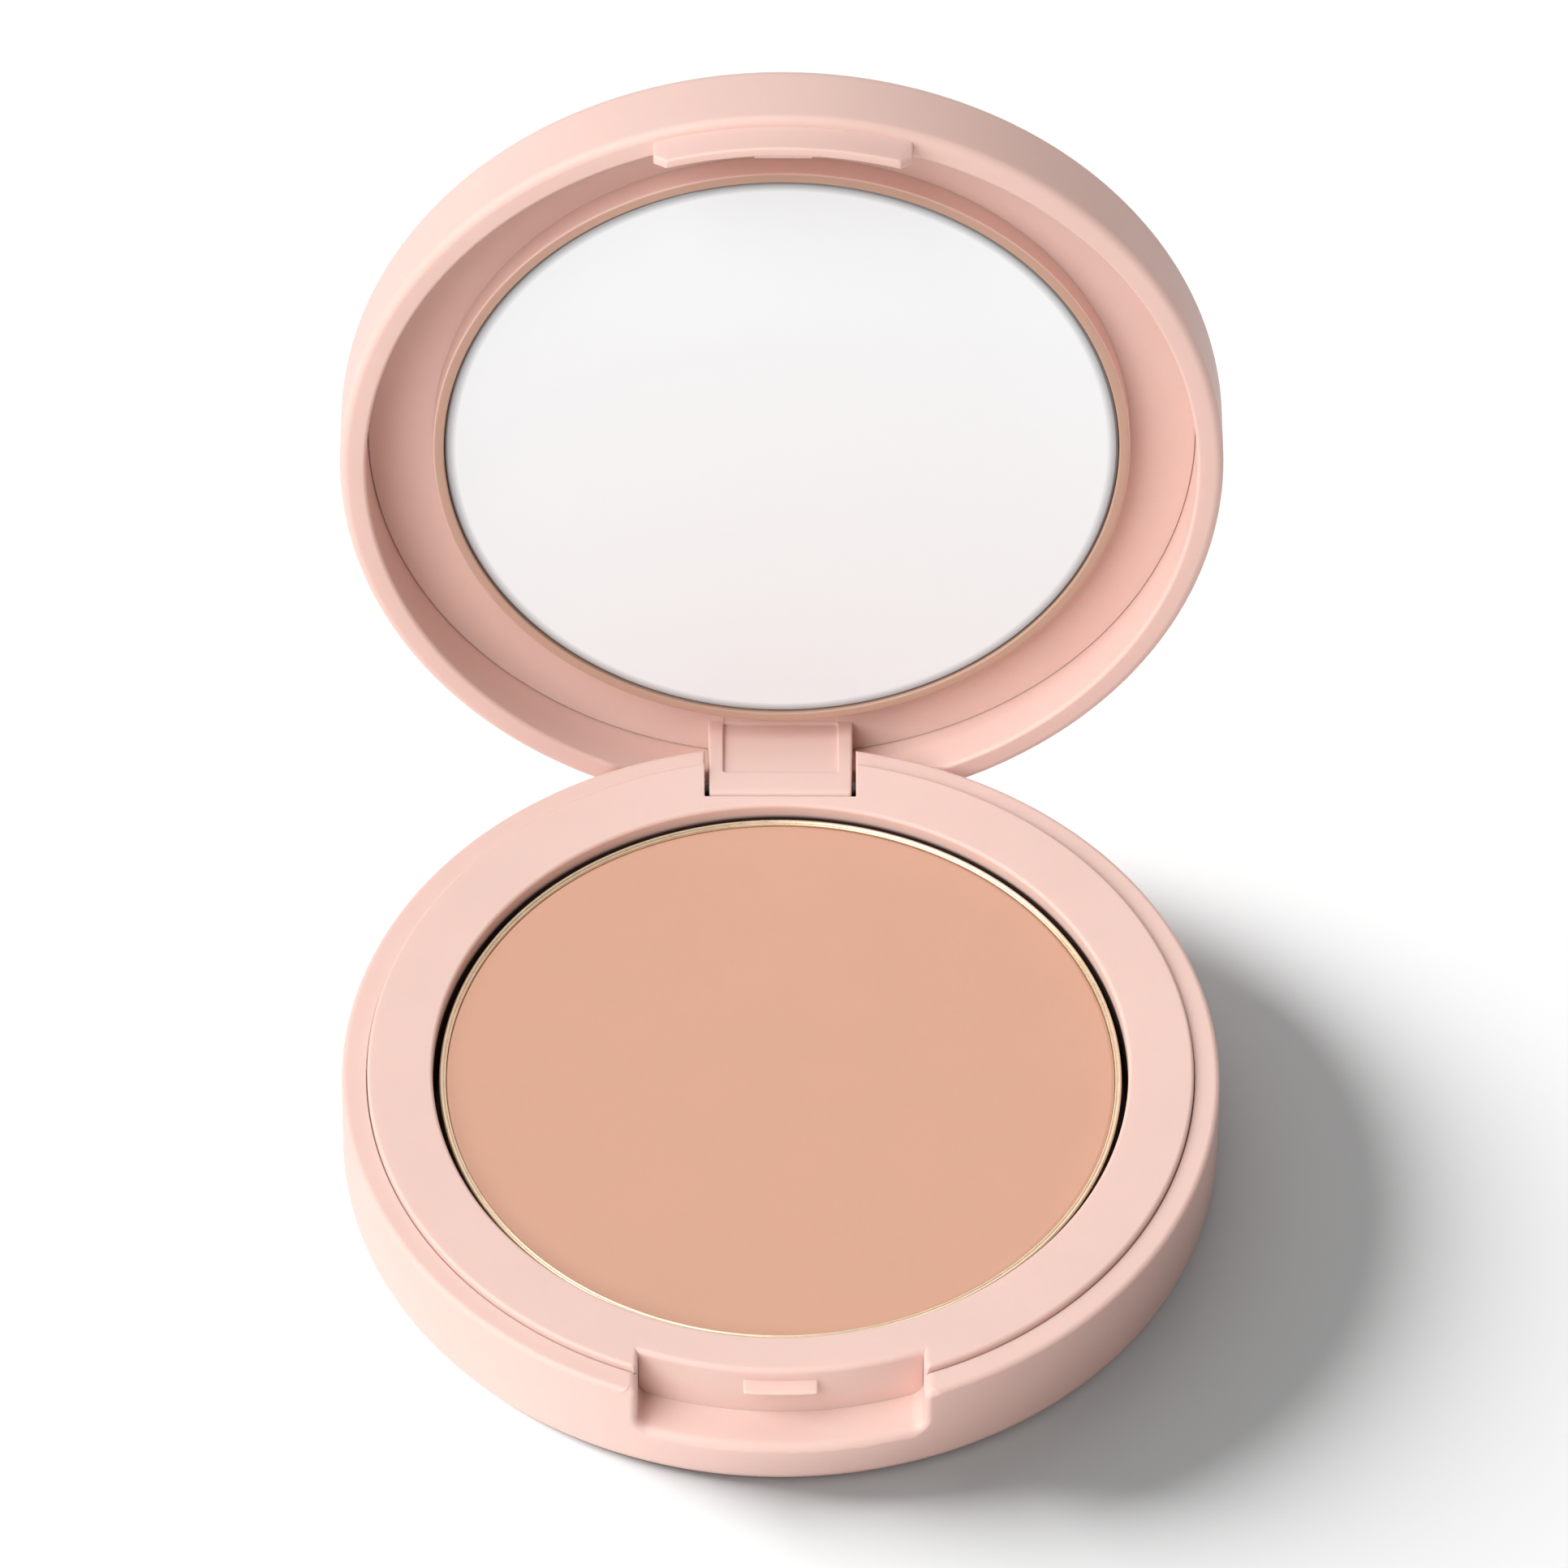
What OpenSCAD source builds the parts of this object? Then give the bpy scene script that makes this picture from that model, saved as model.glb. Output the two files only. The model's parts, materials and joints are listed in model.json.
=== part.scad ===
// Round powder compact, standing open: a base with a pressed powder pan, and a mirror lid on a pin hinge.
// Origin at the centre of the underside, Z up, the thumb recess towards -Y, the hinge towards +Y.
// The pieces of the lid are drawn as they lie when it is closed, and are then turned about the hinge pin.

/* [Case] */
// Radius of the base
case_r = 38.25; // [38:0.05:38.6]
// Thickness of the base's floor and of the lid's back
plate_t = 1.25; // [1:0.05:1.4]
// Height of the shoulder that the closed lid rests over
shoulder_z = 9.35; // [9.3:0.05:9.5]
// How far the inner deck stands above the shoulder
deck_step = 0.7; // [0.6:0.05:0.9]
// Width of the shoulder, from the case wall to the deck
shoulder_w = 2.25; // [2.15:0.05:2.35]

/* [Powder pan] */
// Radius of the hole in the deck
well_r = 30.3; // [30.15:0.05:30.5]
// Outer radius of the pan's rolled rim
pan_rim_r = 29.75; // [29.3:0.05:29.85]
// Height of the pan
pan_h = 4.6; // [3.8:0.1:4.8]
// How far the pan's rim lies below the deck
pan_drop = 1.15; // [1.1:0.05:1.9]

/* [Lid] */
// How far the lid's wall stands out past the base's
lid_over = 0.35; // [0:0.05:0.4]
// Height of the lid from its rim to its back
lid_h = 7.6; // [7.5:0.1:8.5]
// Depth from the lid's rim to its inner floor
lid_floor_d = 5.4; // [5.2:0.05:5.45]
// Radius of the mirror
mirror_r = 29.5; // [29:0.1:29.6]
// Thickness of the mirror
mirror_t = 1.5; // [1.2:0.1:1.6]
// Depth from the lid's rim to the face of the mirror
mirror_d = 3.15; // [2.9:0.05:3.25]

/* [Latch] */
// Width of the thumb recess
recess_w = 24.5; // [24:0.5:26]
// Height of the thumb recess's floor
recess_z = 4.6; // [4.2:0.1:5]
// Width of the latch tab on the lid
tab_w = 22.3; // [20:0.1:22.6]
// How far the latch tab hangs below the lid's rim
tab_drop = 3.1; // [2.6:0.1:3.4]

/* [Hinge] */
// Distance from the centre of the case to the hinge pin
pin_y = 34.3; // [34.2:0.05:34.35]
// Height of the hinge pin
pin_z = 7.65; // [7.6:0.05:7.75]
// Diameter of the hinge pin
pin_d = 1.6; // [1.2:0.1:1.6]
// Width of the hinge lug on the lid
lug_w = 12.9; // [12:0.1:13.2]
// Angle at which the lid stands open
open_angle = 99; // [0:1:99]

/* [Hidden] */
$fn = 180;
small_fn = 48;
eps = 0.01;
far = 50;

pink = [0.93, 0.78, 0.73];
tan_pink = [0.78, 0.62, 0.55];
powder_beige = [0.87, 0.68, 0.58];
champagne = [0.88, 0.80, 0.68];
steel = [0.72, 0.72, 0.74];
silver = [0.93, 0.93, 0.94];
white = [0.95, 0.94, 0.92];

// Base
deck_z = shoulder_z + deck_step;
deck_r = case_r - shoulder_w;
seam = 0.15;
shell_in_r = deck_r + seam;
foot_round = 1;
edge_round = 0.45;
deck_round = 0.3;
deck_t = 1;
deck_under_z = deck_z - deck_t;
well_wall_r = well_r + 0.85;
skirt_t = 1;
skirt_low_z = plate_t + 0.35;
gap = 0.1;

// The pan stands on an adhesive disc, on the seat at the bottom of the frame's well
pan_z = deck_z - pan_drop - pan_h;
roll_r = 0.3;
pan_r = pan_rim_r - roll_r;
pan_t = roll_r;
pan_corner = 0.9;
adhesive_t = 0.3;
pan_adhesive_r = 22;
seat_z = pan_z - adhesive_t;
seat_t = 1;
cake_low = 0.2;
cake_edge = 0.25;
cake_gap = 0.04;

// Label in a shallow pocket under the base
label_r = 27;
label_t = 0.15;
label_pocket = 0.3;

// Snaps that hold the frame in the shell, clear of the recess and of the hinge
snap_angles = [0, 40, 140, 180, 220, 320];
snap_z = 5.6;
snap_h = 1;
snap_w = 5;
snap_out = 0.35;

// Thumb recess and latch
recess_wall_r = 34.2;
recess_wall_t = 1;
recess_corner = 1.1;
cheek_t = 1.5;
cheek_z = deck_under_z - gap;
catch_w = 6.4;
catch_r = recess_wall_r + 1.25;
catch_top_z = deck_z - 1.25;
catch_low_z = deck_z - 1.8;
catch_edge = 0.2;

// Closed lid
rim_z = shoulder_z + 0.2;
lid_r = case_r + lid_over;
lid_in_r = deck_r + 0.3;
lid_top_z = rim_z + lid_h;
lid_round = 1.2;
rim_out_round = 0.8;
rim_in_round = 0.35;
floor_z = rim_z + lid_floor_d;
liner_r = lid_in_r - gap;
liner_top_z = lid_top_z - plate_t - 0.05;
mirror_z = rim_z + mirror_d;
mirror_bevel = 0.25;
mirror_adhesive_r = 26;
mirror_seat_z = mirror_z + mirror_t + adhesive_t;
bezel_in_r = mirror_r + gap;
bezel_r = bezel_in_r + 0.9;
bezel_z = mirror_z - 0.2;
bezel_round = 0.2;

// The back of the lid's rim is arched, so that it clears the base as it swings
arch_half_w = 14.8;
arch_h = 3.1;
arch_r = (arch_half_w * arch_half_w + arch_h * arch_h) / (2 * arch_h);

// Latch tab, and the sloping ridge inside it that goes under the catch
tab_out_r = case_r - 0.4;
tab_t = 0.9;
tab_corner = 1.1;
tab_low_z = rim_z - tab_drop;
ridge_w = 5;
ridge_r = catch_r + 0.12;
ridge_top_z = catch_low_z - 0.1;
ridge_edge = 0.05;

// Hinge lug, seen from the pin: to its front face, its back and its tip
lug_front = 1.8;
lug_tip = 2.7;
lug_tip_round = 0.6;
lug_heel_round = 1.6;
lug_leg = 1.4;
lug_bar = 3;
lug_pocket = 0.4;
running_fit = 0.05;

// The lug's slot, and the two ears beside it that hold the pin, which goes in through the wall on the right
slot_w = lug_w + 0.5;
slot_front_y = 31.45;
slot_relief_y = 31.05;
slot_sill_z = 2.6;
ear_w = 6.55;
ear_x = slot_w / 2 + ear_w;
ear_top_z = deck_under_z - gap;
pin_l = 26;
pin_fit = 0.03;
pin_end_gap = 0.4;

// Points of an arc round the centre c, from angle a0 to a1
function arc(c, r, a0, a1, steps = 6) =
    [for (i = [0:steps]) let (a = a0 + (a1 - a0) * i / steps) c + r * [cos(a), sin(a)]];

// A ring, or a disc where r_in is 0
module ring(r_in, r_out, z0, z1) {
    rotate_extrude() translate([r_in, z0]) square([r_out - r_in, z1 - z0]);
}

// A solid of revolution from the points of its section
module turned(points) {
    rotate_extrude() polygon(points);
}

// A box centred on X
module slab(w, y0, y1, z0, z1) {
    translate([-w / 2, y0, z0]) cube([w, y1 - y0, z1 - z0]);
}

// A prism that runs along Y, from an outline in X and Z
module along_y(y0, y1) {
    translate([0, y1, 0]) rotate([90, 0, 0]) linear_extrude(y1 - y0) children();
}

// A prism centred on X that runs along X, from an outline in Y and Z
module along_x(w) {
    translate([-w / 2, 0, 0]) rotate([90, 0, 90]) linear_extrude(w) children();
}

// A cylinder along the hinge axis
module on_hinge_axis(d, l) {
    translate([-l / 2, pin_y, pin_z]) rotate([0, 90, 0]) cylinder(d = d, h = l, $fn = small_fn);
}

// Turns a piece of the closed lid about the pin to where it stands open
module opened() {
    translate([0, pin_y, pin_z]) rotate([-open_angle, 0, 0]) translate([0, -pin_y, -pin_z]) children();
}

// The space of the thumb recess, in front of a wall of radius r
module recess_space(r) {
    difference() {
        along_y(-case_r - 1, -20) polygon(concat(
            [[recess_w / 2, deck_z + 1], [-recess_w / 2, deck_z + 1]],
            arc([-recess_w / 2 + recess_corner, recess_z + recess_corner], recess_corner, 180, 270),
            arc([recess_w / 2 - recess_corner, recess_z + recess_corner], recess_corner, 270, 360)));
        cylinder(r = r, h = far);
    }
}

// Floor and cheeks of the thumb recess
module recess_block() {
    intersection() {
        ring(recess_wall_r, shell_in_r + 0.5, plate_t - eps, cheek_z);
        slab(recess_w + 2 * cheek_t, -case_r, 0, 0, far);
    }
}

module hinge_ears() {
    intersection() {
        ring(well_wall_r + gap, shell_in_r + 0.5, plate_t - eps, ear_top_z);
        slab(2 * ear_x, slot_relief_y, case_r, 0, far);
    }
}

// Bore for the pin, blind on the left and open through the wall on the right
module pin_bore() {
    translate([-pin_l / 2 - pin_end_gap, pin_y, pin_z]) rotate([0, 90, 0])
        cylinder(d = pin_d + 2 * pin_fit, h = far, $fn = small_fn);
}

// A block on the case wall at each snap, w wide, from radius r0 to r1
module snaps(w, r0, r1, z0, z1) {
    for (a = snap_angles)
        rotate([0, 0, a - 90]) intersection() {
            slab(w, r0 - 1, r1 + 1, z0, z1);
            ring(r0, r1, z0, z1);
        }
}

module base_shell() {
    color(pink) difference() {
        union() {
            difference() {
                turned(concat(
                    [[0, shoulder_z], [0, 0]],
                    arc([case_r - foot_round, foot_round], foot_round, 270, 360),
                    arc([case_r - edge_round, shoulder_z - edge_round], edge_round, 0, 90)));
                translate([0, 0, plate_t]) cylinder(r = shell_in_r, h = far);
            }
            recess_block();
            hinge_ears();
        }
        recess_space(recess_wall_r - eps);
        slab(slot_w, slot_relief_y, far, slot_sill_z, far);
        pin_bore();
        translate([0, 0, -1]) cylinder(r = label_r + 0.3, h = 1 + label_pocket);
        snaps(snap_w + 0.4, shell_in_r - 0.5, shell_in_r + snap_out, snap_z - gap, snap_z + snap_h + gap);
    }
}

// Deck with its rounded edges, and the well that holds the pan
module frame_well() {
    turned(concat(
        [[well_wall_r, deck_under_z]],
        [[deck_r, deck_under_z]],
        arc([deck_r - deck_round, deck_z - deck_round], deck_round, 0, 90),
        arc([well_r + deck_round, deck_z - deck_round], deck_round, 90, 180),
        [[well_r, seat_z], [0, seat_z], [0, seat_z - seat_t], [well_wall_r, seat_z - seat_t]]));
}

// Outer skirt, which steps in behind the thumb recess and stops at the hinge ears
module frame_skirt() {
    difference() {
        ring(deck_r - skirt_t, deck_r - 0.05, skirt_low_z, deck_under_z + eps);
        slab(recess_w + 2 * cheek_t + 2 * gap, -far, 0, 0, far);
        slab(2 * ear_x + 2 * gap, 0, far, 0, far);
    }
    intersection() {
        ring(recess_wall_r - recess_wall_t, recess_wall_r, skirt_low_z, deck_z - deck_round);
        slab(recess_w + 2 * cheek_t + 2, -far, 0, 0, far);
    }
    for (side = [-1, 1])
        translate([side * (recess_w / 2 + cheek_t + gap + 0.5), 0, 0]) intersection() {
            slab(1, -far, 0, skirt_low_z, deck_under_z + eps);
            translate([-side * (recess_w / 2 + cheek_t + gap + 0.5), 0, 0])
                ring(recess_wall_r - recess_wall_t, deck_r - 0.05, 0, far);
        }
}

// Catch on the wall of the thumb recess, with a sloping top
module latch_catch() {
    intersection() {
        turned([
            [recess_wall_r - 0.5, catch_top_z],
            [recess_wall_r, catch_top_z],
            [catch_r, catch_low_z + catch_edge],
            [catch_r, catch_low_z],
            [recess_wall_r - 0.5, catch_low_z]]);
        slab(catch_w, -far, 0, 0, far);
    }
}

module base_frame() {
    color(pink) difference() {
        union() {
            difference() {
                frame_well();
                recess_space(recess_wall_r);
            }
            frame_skirt();
            snaps(snap_w, deck_r - skirt_t, deck_r + snap_out, snap_z, snap_z + snap_h);
            latch_catch();
        }
        slab(slot_w, slot_front_y, far, 0, far);
        slab(slot_w, slot_relief_y, far, 0, deck_under_z + 0.1);
    }
}

module powder_pan() {
    roll = [pan_rim_r - roll_r, pan_z + pan_h - roll_r];
    color(champagne) turned(concat(
        [[0, pan_z + pan_t], [0, pan_z]],
        arc([pan_r - pan_corner, pan_z + pan_corner], pan_corner, 270, 360),
        [[pan_r, roll[1] - roll_r]],
        arc(roll, roll_r, -60, 180, 10),
        arc([pan_r - pan_corner, pan_z + pan_corner], pan_corner - pan_t, 360, 270)));
}

module powder_cake() {
    cake_r = pan_r - pan_t - cake_gap;
    cake_z = pan_z + pan_t + cake_gap;
    top_z = pan_z + pan_h - cake_low;
    color(powder_beige) turned([
        [0, cake_z], [cake_r - pan_corner, cake_z], [cake_r, cake_z + pan_corner],
        [cake_r, top_z - cake_edge], [cake_r - cake_edge, top_z], [0, top_z]]);
}

module pan_adhesive() {
    color(white) ring(0, pan_adhesive_r, seat_z, pan_z);
}

module hinge_pin() {
    color(steel) on_hinge_axis(pin_d, pin_l);
}

module base_label() {
    color(white) ring(0, label_r, label_pocket - label_t, label_pocket);
}

module lid_cup() {
    turned(concat(
        [[0, liner_top_z + 0.05], [0, lid_top_z]],
        arc([lid_r - lid_round, lid_top_z - lid_round], lid_round, 90, 0),
        arc([lid_r - rim_out_round, rim_z + rim_out_round], rim_out_round, 0, -90),
        arc([lid_in_r + rim_in_round, rim_z + rim_in_round], rim_in_round, 270, 180),
        [[lid_in_r, liner_top_z + 0.05]]));
}

module latch_tab() {
    tab_in_r = tab_out_r - tab_t;
    intersection() {
        ring(tab_in_r, tab_out_r, tab_low_z, rim_z + 1);
        along_y(-far, 0) polygon([
            [-tab_w / 2, rim_z + 1], [-tab_w / 2, tab_low_z + tab_corner],
            [-tab_w / 2 + tab_corner, tab_low_z], [tab_w / 2 - tab_corner, tab_low_z],
            [tab_w / 2, tab_low_z + tab_corner], [tab_w / 2, rim_z + 1]]);
    }
    intersection() {
        turned([
            [tab_in_r + eps, ridge_top_z],
            [ridge_r, ridge_top_z],
            [ridge_r, ridge_top_z - ridge_edge],
            [tab_in_r + eps, tab_low_z + ridge_edge]]);
        slab(ridge_w, -far, 0, 0, far);
    }
}

module lid_shell() {
    color(pink) opened() {
        difference() {
            lid_cup();
            translate([0, 0, rim_z + arch_h - arch_r]) along_y(30, far) circle(r = arch_r);
        }
        latch_tab();
    }
}

// Lug with a shallow pocket on its front face and a bore for the pin
module hinge_lug() {
    front_y = pin_y - lug_front;
    tip_z = pin_z - lug_tip;
    difference() {
        intersection() {
            along_x(lug_w) polygon(concat(
                [[liner_r + 1, floor_z + 0.5], [front_y, floor_z + 0.5]],
                arc([front_y + lug_tip_round, tip_z + lug_tip_round], lug_tip_round, 180, 270),
                arc([liner_r - lug_heel_round, tip_z + lug_heel_round], lug_heel_round, 270, 360)));
            cylinder(r = liner_r, h = far);
        }
        slab(lug_w - 2 * lug_leg, 0, front_y + lug_pocket, tip_z + lug_bar, floor_z);
        on_hinge_axis(pin_d + 2 * running_fit, lug_w + 1);
    }
}

module lid_liner() {
    color(pink) opened() {
        ring(0, liner_r, floor_z, liner_top_z);
        ring(0, bezel_in_r - gap, mirror_seat_z, floor_z + eps);
        hinge_lug();
    }
}

module mirror_bezel() {
    color(tan_pink) opened() turned(concat(
        [[bezel_in_r, floor_z]],
        arc([bezel_in_r + bezel_round, bezel_z + bezel_round], bezel_round, 180, 270),
        arc([bezel_r - bezel_round, bezel_z + bezel_round], bezel_round, 270, 360),
        [[bezel_r, floor_z]]));
}

module mirror_glass() {
    back_z = mirror_z + mirror_t;
    color(silver) opened() turned([
        [0, mirror_z], [mirror_r - mirror_bevel, mirror_z], [mirror_r, mirror_z + mirror_bevel],
        [mirror_r, back_z], [0, back_z]]);
}

module mirror_adhesive() {
    color(white) opened() ring(0, mirror_adhesive_r, mirror_z + mirror_t, mirror_seat_z);
}

base_shell();
base_frame();
powder_pan();
powder_cake();
pan_adhesive();
hinge_pin();
base_label();
lid_shell();
lid_liner();
mirror_bezel();
mirror_glass();
mirror_adhesive();
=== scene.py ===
"""Looks of the round powder compact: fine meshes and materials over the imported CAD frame.

Lengths are in millimetres until a mesh is made; a finished mesh is in metres, in the frame's coordinates.
Pieces of the lid are built as they lie when it is closed, and are then turned open about the hinge pin.
"""
import json
import math

import bmesh
import bpy
from mathutils import Matrix, Vector


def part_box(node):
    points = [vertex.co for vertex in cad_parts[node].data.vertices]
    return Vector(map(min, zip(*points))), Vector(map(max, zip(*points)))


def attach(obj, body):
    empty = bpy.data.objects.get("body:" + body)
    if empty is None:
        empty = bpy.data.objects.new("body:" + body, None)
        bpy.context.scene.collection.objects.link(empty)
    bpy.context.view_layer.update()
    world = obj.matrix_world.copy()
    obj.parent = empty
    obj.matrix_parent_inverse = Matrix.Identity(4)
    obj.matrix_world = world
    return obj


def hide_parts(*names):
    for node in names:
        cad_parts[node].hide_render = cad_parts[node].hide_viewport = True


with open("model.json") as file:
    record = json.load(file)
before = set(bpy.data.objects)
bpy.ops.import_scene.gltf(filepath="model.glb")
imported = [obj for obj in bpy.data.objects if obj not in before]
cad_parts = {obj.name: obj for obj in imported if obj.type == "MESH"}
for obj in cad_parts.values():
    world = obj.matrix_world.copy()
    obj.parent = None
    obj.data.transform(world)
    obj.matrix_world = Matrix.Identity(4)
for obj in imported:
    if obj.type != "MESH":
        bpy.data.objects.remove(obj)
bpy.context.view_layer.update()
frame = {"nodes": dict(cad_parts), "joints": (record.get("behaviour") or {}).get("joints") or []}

MM = 0.001
SEGMENTS = 288
# A joined shape goes LAP into its neighbour, and a cutting tool goes BEYOND the face that it cuts
LAP, BEYOND = 0.1, 6
# Points of a cut mesh closer than WELD become one, and edges shorter than SLIVER are taken out
WELD, SLIVER = 0.012, 0.002


def low(node):
    """Lowest corner of a CAD node, in millimetres."""
    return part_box(node)[0] / MM


def high(node):
    """Highest corner of a CAD node, in millimetres."""
    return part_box(node)[1] / MM


# Sizes that the frame gives
hinge = frame["joints"][0]
PIN_Y, PIN_Z = hinge["pos_m"][1] / MM, hinge["pos_m"][2] / MM
OPEN_ANGLE = hinge["range_deg"][0]
CASE_R = high("base_shell").x
LID_R = high("lid_shell").x
SHOULDER_Z = high("base_shell").z
DECK_Z = high("base_frame").z
PAN_R = high("powder_pan").x
PAN_LOW_Z = low("powder_pan").z
PAN_TOP_Z = high("powder_pan").z
CAKE_R = high("powder_cake").x
CAKE_LOW_Z = low("powder_cake").z
CAKE_TOP_Z = high("powder_cake").z
MIRROR_R = high("mirror_glass").x
BEZEL_R = high("mirror_bezel").x
PIN_HALF = high("hinge_pin").x
PIN_R = high("hinge_pin").z - PIN_Z

# Base: GAP is the room between its shell and its frame
PLATE_T = 1.25
GAP = 0.1
DECK_R = 36.0
SHELL_IN_R = DECK_R + 0.07
DECK_UNDER_Z = DECK_Z - 1
WELL_R = 30.3
WELL_WALL_R = 31.15
SEAT_Z, SEAT_T = PAN_LOW_Z - 0.3, 1
SKIRT_IN_R, SKIRT_OUT_R, SKIRT_LOW_Z = 35.0, 35.95, 1.6
LABEL_POCKET_R, LABEL_POCKET = 27.3, 0.3
FOOT_ROUND, EDGE_ROUND, DECK_ROUND = 1.0, 0.5, 0.32

# Thumb recess, catch and slot for the hinge
RECESS_HALF_W, RECESS_Z, RECESS_CORNER = 12.25, 4.6, 1.1
RECESS_ROUND, RECESS_DECK_ROUND, RECESS_SIDE_ROUND = 0.85, 0.5, 0.75
RECESS_WALL_R = 34.2
CHEEK_T = 1.5
CATCH_W, CATCH_LOW_Z, CATCH_H, CATCH_OUT = 6.4, DECK_Z - 1.8, 0.58, 1.25
CATCH_ROUND, CATCH_TAPER = 0.22, 0.45
SLOT_HALF_W, SLOT_FRONT_Y, SLOT_RELIEF_Y, SLOT_SILL_Z = 6.7, 31.45, 31.05, 2.6
SLOT_ROUND, SLOT_SHELL_ROUND, SLOT_SIDE_ROUND = 0.14, 0.25, 0.2
SLOT_CORNER, SLOT_SILL_CORNER = 0.12, 0.4
EAR_X = 13.25
PIN_BORE_R, LUG_BORE_R = PIN_R + 0.03, PIN_R + 0.05

# Closed lid
RIM_Z = SHOULDER_Z + 0.2
LID_TOP_Z = RIM_Z + 7.6
LID_IN_R = 36.3
LID_ROUND, RIM_OUT_ROUND, RIM_IN_ROUND, ARCH_ROUND = 1.2, 0.8, 0.35, 0.35
FLOOR_Z = RIM_Z + 5.4
LINER_R, LINER_TOP_Z = LID_IN_R - 0.04, 15.85
MIRROR_Z, MIRROR_T = RIM_Z + 3.15, 1.5
MIRROR_SEAT_Z = MIRROR_Z + MIRROR_T + 0.3
BEZEL_IN_R, BEZEL_Z = MIRROR_R + 0.05, MIRROR_Z - 0.2
ARCH_HALF_W, ARCH_H = 14.8, 3.1
TAB_W, TAB_DROP, TAB_CORNER, TAB_IN_R, TAB_OUT_R = 22.3, 3.1, 1.1, 36.95, 37.85
TAB_ROUND, TAB_EDGE_ROUND = 0.35, 0.22
RIDGE_W, RIDGE_IN_R, RIDGE_TOP_Z, RIDGE_ROUND = 5, 35.57, 8.15, 0.12
LUG_W, LUG_FRONT_Y, LUG_TIP_Z = 12.9, PIN_Y - 1.8, PIN_Z - 2.7
LUG_LEG, LUG_BAR, LUG_POCKET, LUG_DRAFT = 1.4, 3.0, 0.4, 0.026
LUG_ROUND, LUG_POCKET_ROUND = 0.24, 0.2

# The pin's place, its direction, and the turn that opens the lid
AT_PIN = Matrix.Translation(Vector((0, PIN_Y, PIN_Z)) * MM)
ALONG_PIN = AT_PIN @ Matrix.Rotation(math.pi / 2, 4, "Y")
OPENED = AT_PIN @ Matrix.Rotation(math.radians(OPEN_ANGLE), 4, "X") @ AT_PIN.inverted()


# ---------------------------------------------------------------- outlines

def arc(x, y, radius, start, end, steps=8):
    """Points of an arc between two angles in degrees."""
    angles = [math.radians(start + (end - start) * i / steps) for i in range(steps + 1)]
    return [(x + radius * math.cos(a), y + radius * math.sin(a)) for a in angles]


def rounded(corners, steps=6):
    """Outline through (x, y, radius) corners, each turned by an arc of its radius."""
    points = []
    for i, (x, y, radius) in enumerate(corners):
        corner = Vector((x, y))
        to_last = (Vector(corners[i - 1][:2]) - corner).normalized()
        to_next = (Vector(corners[(i + 1) % len(corners)][:2]) - corner).normalized()
        if not radius:
            points.append((x, y))
            continue
        half = to_last.angle(to_next) / 2
        centre = corner + (to_last + to_next).normalized() * radius / math.sin(half)
        first = corner + to_last * radius / math.tan(half) - centre
        last = corner + to_next * radius / math.tan(half) - centre
        a0 = math.atan2(first.y, first.x)
        turn = (math.atan2(last.y, last.x) - a0 + math.pi) % math.tau - math.pi
        a0, a1 = math.degrees(a0), math.degrees(a0 + turn)
        points += arc(centre.x, centre.y, radius, a0, a1, steps)
    return points


def dense(outline, step=0.6):
    """The outline with its long edges split, so that it can follow a curved wall."""
    points = []
    for (x0, y0), (x1, y1) in zip(outline, outline[1:] + outline[:1]):
        parts = max(1, math.ceil(math.hypot(x1 - x0, y1 - y0) / step))
        points += [(x0 + (x1 - x0) * i / parts, y0 + (y1 - y0) * i / parts) for i in range(parts)]
    return points


def grown(outline, out):
    """A counterclockwise outline moved outwards by a distance, with mitred corners."""
    points = []
    for i, (x, y) in enumerate(outline):
        (px, py), (nx, ny) = outline[i - 1], outline[(i + 1) % len(outline)]
        before = Vector((y - py, px - x)).normalized()
        after = Vector((ny - y, x - nx)).normalized()
        shift = (before + after) * out / (1 + before.dot(after))
        points.append((x + shift.x, y + shift.y))
    return points


def flare(radius, steps=6, last_angle=82):
    """(growth, height) steps of a cutter that leaves a rounded edge at height 0.

    The arc ends short of 90 degrees, because the cutter must not run flat along the face.
    """
    angles = [math.radians(last_angle * i / steps) for i in range(steps + 1)]
    return [(radius * (1 - math.cos(a)), radius * (math.sin(a) - 1)) for a in angles]


def outlet(radius, face, last_growth, beyond):
    """(growth, depth) levels that carry a cutter out through a face and leave a rounded edge there.

    The cutter ends at the last growth, as far beyond the face as given, which is negative on the way down.
    """
    way = math.copysign(1, beyond)
    return [(g, face + way * z) for g, z in flare(radius)] + [(last_growth, face + beyond)]


def bull(radius, low_z, high_z, steps=5):
    """(growth, depth) levels of a block whose two ends are rounded over."""
    angles = [math.radians(90 * i / steps) for i in range(steps + 1)]
    first = [(-radius * (1 - math.sin(a)), low_z + radius * (1 - math.cos(a))) for a in angles]
    return first + [(g, low_z + high_z - z) for g, z in reversed(first)]


def notch(half_w, low_z, corner, top_z, edge):
    """Outline of a notch cut from above, with rounded lower corners and edges rounded at top_z."""
    right = arc(half_w - corner, low_z + corner, corner, -90, 0)
    right += [(half_w + g, top_z + z) for g, z in flare(edge)]
    right.append((right[-1][0], top_z + BEYOND))
    return dense([(-x, z) for x, z in reversed(right)] + right)


# ---------------------------------------------------------------- meshes

def bridge(mesh, a, b):
    """Faces between two rings of vertices, where a ring of one vertex is a pole."""
    count = max(len(a), len(b))
    for i in range(count):
        j = (i + 1) % count
        corners = [a[i % len(a)], a[j % len(a)], b[j % len(b)], b[i % len(b)]]
        corners = list(dict.fromkeys(corners))
        if len(corners) > 2:
            mesh.faces.new(corners)


def finished(mesh):
    """The mesh with all its faces turned outwards."""
    bmesh.ops.recalc_face_normals(mesh, faces=mesh.faces)
    return mesh


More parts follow.
